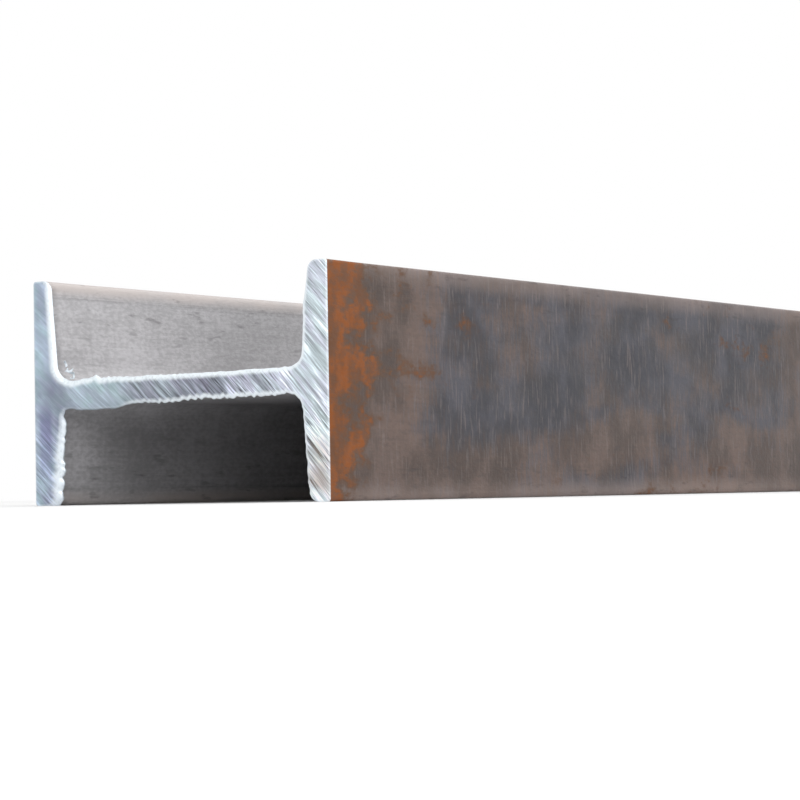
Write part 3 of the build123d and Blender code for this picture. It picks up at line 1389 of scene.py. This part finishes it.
class RolledFinish(Coat):
    """Mill scale: grey-violet inside, browner outside, with grain, lines, pits, rust and painted shade."""

    metallic = 0.30
    bump_strength = 0.6
    bump_depth = 0.10 * MM
    relief: Shares = ((Grain.SPECK, 0.8), (Grain.LINES, 0.2))
    roughness: Span = (0.2, 1.0, 0.42, 0.64)
    rust_roughness: float = 0.2

    outer_from: float = 1.0 * MM
    outer_full: float = 0.3 * MM
    # The outer faces share the channels' mill scale; these darker colours are partly weathered scale, partly
    # painted shade
    outer_brown_and_shade: Colour = (0.108, 0.074, 0.062)
    blue_scale_and_shade: Colour = (0.054, 0.054, 0.066)
    tones: Shares = ((Grain.SCALE, 0.6), (Grain.CLOUD, 0.4))
    rubbed_share: float = 0.22
    blue_patches: Span = (0.34, 0.66)
    mottle: Part = (Grain.MOTTLE, 0.1, 0.9, 0.74, 1.30)
    worn_marks: Mask = ((Grain.RUBBED, 0.5, 1.0, 0.0, 0.45), (Grain.BARS, 0.2, 0.8, 0.3))
    worn: Colour = (0.20, 0.160, 0.148)

    inside: Colour = (0.500, 0.492, 0.506)
    # Painted shade deep in the upper channel: darker further in from each cut
    channel_shade: Mask = ((Measure.TO_END, 0, 150), (Measure.UP, 30, 44))
    channel_shade_light: Span = (0.0, 1.0, 1.0, 0.77)
    texture: Shares = ((Grain.SPECK, 0.36), (Grain.LINES, 0.16), (Grain.BARS, 0.10), (Grain.CLOUD, 0.38))
    texture_light: Span = (0.15, 0.9, 0.80, 1.22)

    warm: Colour = (0.33, 0.255, 0.225)
    pink: Colour = (0.54, 0.482, 0.455)
    inner_toe: Part = (Measure.FROM_WEB, 31.0, 35.4)
    outer_toe: Part = (Measure.FROM_WEB, 29.0, 36.5)
    outer_toe_strength: float = 0.6
    toe_patches: Part = (Grain.CLOUD, 0.1, 0.7, 0.35, 0.8)

    dark: Colour = (0.035, 0.030, 0.032)
    seam_height: float = 31.7 * MM
    seam_stray: float = 0.9 * MM
    seam: Part = (Measure.FROM_SEAM, 2.1, 0.3)
    seam_breaks: Mask = ((Grain.LINES, 0.3, 0.8, 0.08, 0.40), (Grain.CLOUD, 0.2, 0.8, 0.3, 1.0))
    pits: Mask = (
        (Grain.PITS, 0.77, 1.0, 0.0, 0.42),
        (Grain.SPECK, 0.1, 0.7, 0.5),
        (Measure.FROM_WEB, 8, 25, 0.25, 1.0),
    )

    near_rust: Part = (Measure.TO_END, 36, 0, 0.0, 0.38)
    edge_rust: Part = (Measure.TO_END, 6, 1, 0.0, 0.22)
    rust_patches: Shares = ((Grain.RUST_PATCH, 0.60), (Grain.RUST_SPOT, 0.38))
    rust_fray: float = 0.12
    rust_amount: Span = (0.60, 1.12)
    brown_rust: Span = (0.0, 0.5, 0.0, 0.8)
    old_rust: Colour = (0.112, 0.054, 0.026)
    orange_rust: Span = (0.3, 0.9, 0.0, 0.9)
    blooms: Shares = ((Grain.BLOOM, 0.75), (Grain.SPECK, 0.25))
    orange_blooms: Span = (0.2, 0.75, 0.25, 1.0)
    rust: Colour = (0.285, 0.082, 0.012)

    def __init__(self, section: RolledSection, length: float) -> None:
        """Start the material, with its mask of the outer faces and its distances from the ends and seams.

        Args:
            section: The rolled section.
            length: The beam's length.
        """
        super().__init__("mill_scale", section)
        edge = section.depth / 2
        self.outer = self.span(self.lengths[Measure.OUT], edge - self.outer_from, edge - self.outer_full)
        from_middle = self.size(self.lengths[Measure.ALONG])
        self.lengths[Measure.TO_END] = self.minus(length / 2, from_middle)
        from_seam = self.size(self.minus(self.lengths[Measure.FROM_WEB], self.seam_height))
        stray = self.times(self.noise(Grain.PITS), self.seam_stray)
        self.lengths[Measure.FROM_SEAM] = self.plus(from_seam, stray)

    def build(self) -> Material:
        """Make the material: the scale and its grain, the pale toes, the seams and pits, and rust over all.

        Returns:
            The material.
        """
        texture = self.blend(self.texture)
        colour = self.mix(self.outer, self.inner_scale(), self.outer_scale())
        colour = self.lit(colour, self.span(texture, *self.texture_light))
        colour = self.mix(self.toes(), colour, self.mix(self.outer, self.pink, self.warm))
        seams = self.times(self.mask(self.seam, *self.seam_breaks), self.minus(1.0, self.outer))
        colour = self.mix(seams, colour, self.dark)
        colour = self.mix(self.mask(*self.pits), colour, self.dark)
        rusty = self.rusty()
        bloom = self.span(self.blend(self.blooms), *self.orange_blooms)
        colour = self.mix(self.span(rusty, *self.brown_rust), colour, self.old_rust)
        colour = self.mix(self.times(self.span(rusty, *self.orange_rust), bloom), colour, self.rust)
        roughness = self.plus(self.span(texture, *self.roughness), self.times(rusty, self.rust_roughness))
        return self.finish(colour, roughness, self.blend(self.relief))

    def outer_scale(self) -> Socket:
        """Scale of the outer faces: brown with bluish patches, mottled, and worn in fine upright marks.

        Its darkness is partly the weathered scale and partly painted shade.

        Returns:
            Its colour.
        """
        rubbed = self.times(self.minus(self.noise(Grain.RUBBED), 0.5), self.rubbed_share)
        bluish = self.span(self.plus(self.blend(self.tones), rubbed), *self.blue_patches)
        scale = self.lit(self.mix(bluish, self.outer_brown_and_shade, self.blue_scale_and_shade), self.mask(self.mottle))
        return self.mix(self.mask(*self.worn_marks), scale, self.worn)

    def inner_scale(self) -> Socket:
        """Channel scale, a little darker as painted shade further in from each cut in the upper one."""
        return self.lit(self.inside, self.span(self.mask(*self.channel_shade), *self.channel_shade_light))

    def toes(self) -> Socket:
        """Mask of the flanges' paler edges: a strip round each toe, and a softer one on the outer faces.

        Returns:
            The mask.
        """
        inner = self.minus(self.mask(self.inner_toe), self.outer)
        outer = self.times(self.mask(self.outer_toe), self.outer, self.outer_toe_strength)
        return self.times(self.math("MAXIMUM", inner, outer), self.mask(self.toe_patches))

    def rusty(self) -> Socket:
        """How rusty the outer faces are: a strip beside each cut, and faint patches further away.

        Returns:
            The amount, from 0 to 1.
        """
        near_cut = self.plus(self.mask(self.near_rust), self.mask(self.edge_rust))
        fray = self.times(self.minus(self.noise(Grain.SPECK), 0.5), self.rust_fray)
        amount = self.plus(self.blend(self.rust_patches), near_cut, fray)
        return self.times(self.span(amount, *self.rust_amount), self.outer)


@dataclass(frozen=True)
class SoftLamp:
    """Rectangular soft lamp: where it hangs, where it points, its width and height, and its power."""

    name: str
    place: Point
    target: Point
    size: tuple[float, float]
    watts: float

    def hang(self) -> None:
        """Add the lamp to the scene, turned so that it points at its target."""
        data = bpy.data.lights.new(self.name, "AREA")
        data.shape, data.energy = "RECTANGLE", self.watts
        data.size, data.size_y = self.size
        lamp = bpy.data.objects.new(self.name, data)
        lamp.location = self.place
        lamp.rotation_euler = (Vector(self.target) - Vector(self.place)).to_track_quat("-Z", "Y").to_euler()
        bpy.context.scene.collection.objects.link(lamp)


@dataclass(frozen=True)
class Studio:
    """Pale floor, white background, soft lamps and the camera."""

    half_length: float
    camera_place: Point = (0.5198, -2.1308, 0.0025)
    yaw: float = radians(34.493)
    pitch: float = radians(2.052)
    roll: float = radians(-0.987)
    lens: float = 115.71
    sensor: float = 36.0
    sight: tuple[float, float] = (0.01, 100.0)
    ambient: float = 0.76
    white: Colour = (1.0, 1.0, 1.0)
    floor_colour: Colour = (0.84, 0.84, 0.84)
    floor_size: float = 60.0
    floor_roughness: float = 0.9
    floor_shine: float = 0.1
    near_white: float = 0.35
    far_white: float = 2.0
    lamps: tuple[SoftLamp, ...] = (
        SoftLamp("front", (0.9, -3.4, 1.2), (0.0, -1.3, 0.0), (1.6, 1.6), 21.0),
        SoftLamp("back", (-0.9, 3.4, 1.2), (0.0, 1.3, 0.0), (1.6, 1.6), 21.0),
        SoftLamp("top", (0.0, 0.0, 2.0), (0.0, 0.0, 0.0), (1.4, 5.0), 20.0),
        SoftLamp("right", (2.4, 0.0, 1.2), (0.0, 0.0, 0.0), (5.0, 1.0), 14.0),
    )

    def build(self) -> None:
        """Make the whole studio."""
        bpy.context.scene.view_settings.view_transform = "Standard"
        self.build_world()
        self.build_floor()
        self.build_camera()
        for lamp in self.lamps:
            lamp.hang()

    @staticmethod
    def seen(wiring: Wiring) -> Socket:
        """1 for rays that show the background: to the camera, in a reflection or through glass.

        Args:
            wiring: The tree's wiring.

        Returns:
            1 or 0.
        """
        path = wiring.node("ShaderNodeLightPath", {}).outputs
        mirrored = wiring.math("MAXIMUM", path["Is Glossy Ray"], path["Is Transmission Ray"])
        return wiring.math("MAXIMUM", path["Is Camera Ray"], mirrored)

    def build_world(self) -> None:
        """White to the camera and in reflections, and softer as a light, by the share ambient."""
        world = bpy.data.worlds.new("studio")
        bpy.context.scene.world = world
        world.use_nodes = True
        wiring = Wiring(world.node_tree)
        background = world.node_tree.nodes["Background"].inputs
        wiring.feed(background["Color"], self.white)
        strength = wiring.plus(wiring.times(self.seen(wiring), 1 - self.ambient), self.ambient)
        wiring.feed(background["Strength"], strength)

    def build_floor(self) -> None:
        """Pale floor that fades to white away from the beam, for the rays that show the background."""
        bpy.ops.mesh.primitive_plane_add(size=self.floor_size)
        floor = bpy.context.object
        floor.name = "floor"
        material = bpy.data.materials.new("pale_floor")
        material.use_nodes = True
        wiring = Wiring(material.node_tree)
        shader = material.node_tree.nodes["Principled BSDF"]
        wiring.feed(shader.inputs["Base Color"], self.floor_colour)
        shader.inputs["Roughness"].default_value = self.floor_roughness
        shader.inputs["Specular IOR Level"].default_value = self.floor_shine
        x, y, _ = wiring.parts(wiring.node("ShaderNodeTexCoord", {}).outputs["Object"])
        past_end = wiring.math("MAXIMUM", wiring.minus(wiring.size(y), self.half_length), 0.0)
        spot = wiring.node("ShaderNodeCombineXYZ", {0: x, 1: past_end}).outputs[0]
        away = wiring.node("ShaderNodeVectorMath", {0: spot}, operation="LENGTH").outputs["Value"]
        fade = wiring.times(wiring.span(away, self.near_white, self.far_white), self.seen(wiring))
        white = wiring.node("ShaderNodeEmission", {"Color": self.white, "Strength": 1.0}).outputs[0]
        mixed = wiring.node("ShaderNodeMixShader", {0: fade, 1: shader.outputs[0], 2: white}).outputs[0]
        wiring.feed(material.node_tree.nodes["Material Output"].inputs["Surface"], mixed)
        floor.data.materials.append(material)

    def build_camera(self) -> None:
        """Camera at the photo's angle: turned left from +Y by yaw, tipped up by pitch, then rolled."""
        data = bpy.data.cameras.new("camera")
        data.lens, data.sensor_width = self.lens, self.sensor
        data.clip_start, data.clip_end = self.sight
        camera = bpy.data.objects.new("camera", data)
        forward = Vector((-sin(self.yaw) * cos(self.pitch), cos(self.yaw) * cos(self.pitch), sin(self.pitch)))
        level = Vector((cos(self.yaw), sin(self.yaw), 0))
        above = level.cross(forward)
        right = cos(self.roll) * level + sin(self.roll) * above
        up = -sin(self.roll) * level + cos(self.roll) * above
        turn = Matrix((right, up, -forward)).transposed().to_4x4()
        camera.matrix_world = Matrix.Translation(self.camera_place) @ turn
        bpy.context.scene.collection.objects.link(camera)
        bpy.context.scene.camera = camera


ROOT_CURLS = (
    TornCurl((-46.2 * MM, 1.4 * MM, 43.8 * MM), (0.4, 0.5, 1.0), 1.2 * MM, 0.8, 0.4),
    TornCurl((-44.6 * MM, 1.4 * MM, 42.3 * MM), (1.0, 0.3, 0.1), 1.1 * MM, 0.7, 2.0),
    TornCurl((-47.4 * MM, 1.3 * MM, 46.2 * MM), (0.8, 0.4, 0.5), 1.0 * MM, 0.6, 3.1),
    TornCurl((-45.6 * MM, 1.5 * MM, 44.9 * MM), (0.9, 0.2, -0.6), 1.3 * MM, 0.5, 1.2),
)


def main() -> None:
    """Build the finishes, the beam and the studio."""
    logging.basicConfig(level=logging.INFO, format="%(name)s: %(message)s")
    low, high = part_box("i_beam")
    length = high.y - low.y
    section = RolledSection(depth=high.x - low.x, width=high.z - low.z)
    SteelTextures(section.half_width).build()
    finishes = [SawnFinish(section).build(), RolledFinish(section, length).build()]
    beam = SawnIBeam(section, length, ROOT_CURLS).build(finishes)
    LOG.info("%s: %d corners, %d faces", beam.name, len(beam.data.vertices), len(beam.data.polygons))
    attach(beam, "root")
    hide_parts("i_beam")
    Studio(length / 2).build()
    LOG.info("studio ready, quick try: %s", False)


if __name__ == "__main__":
    main()
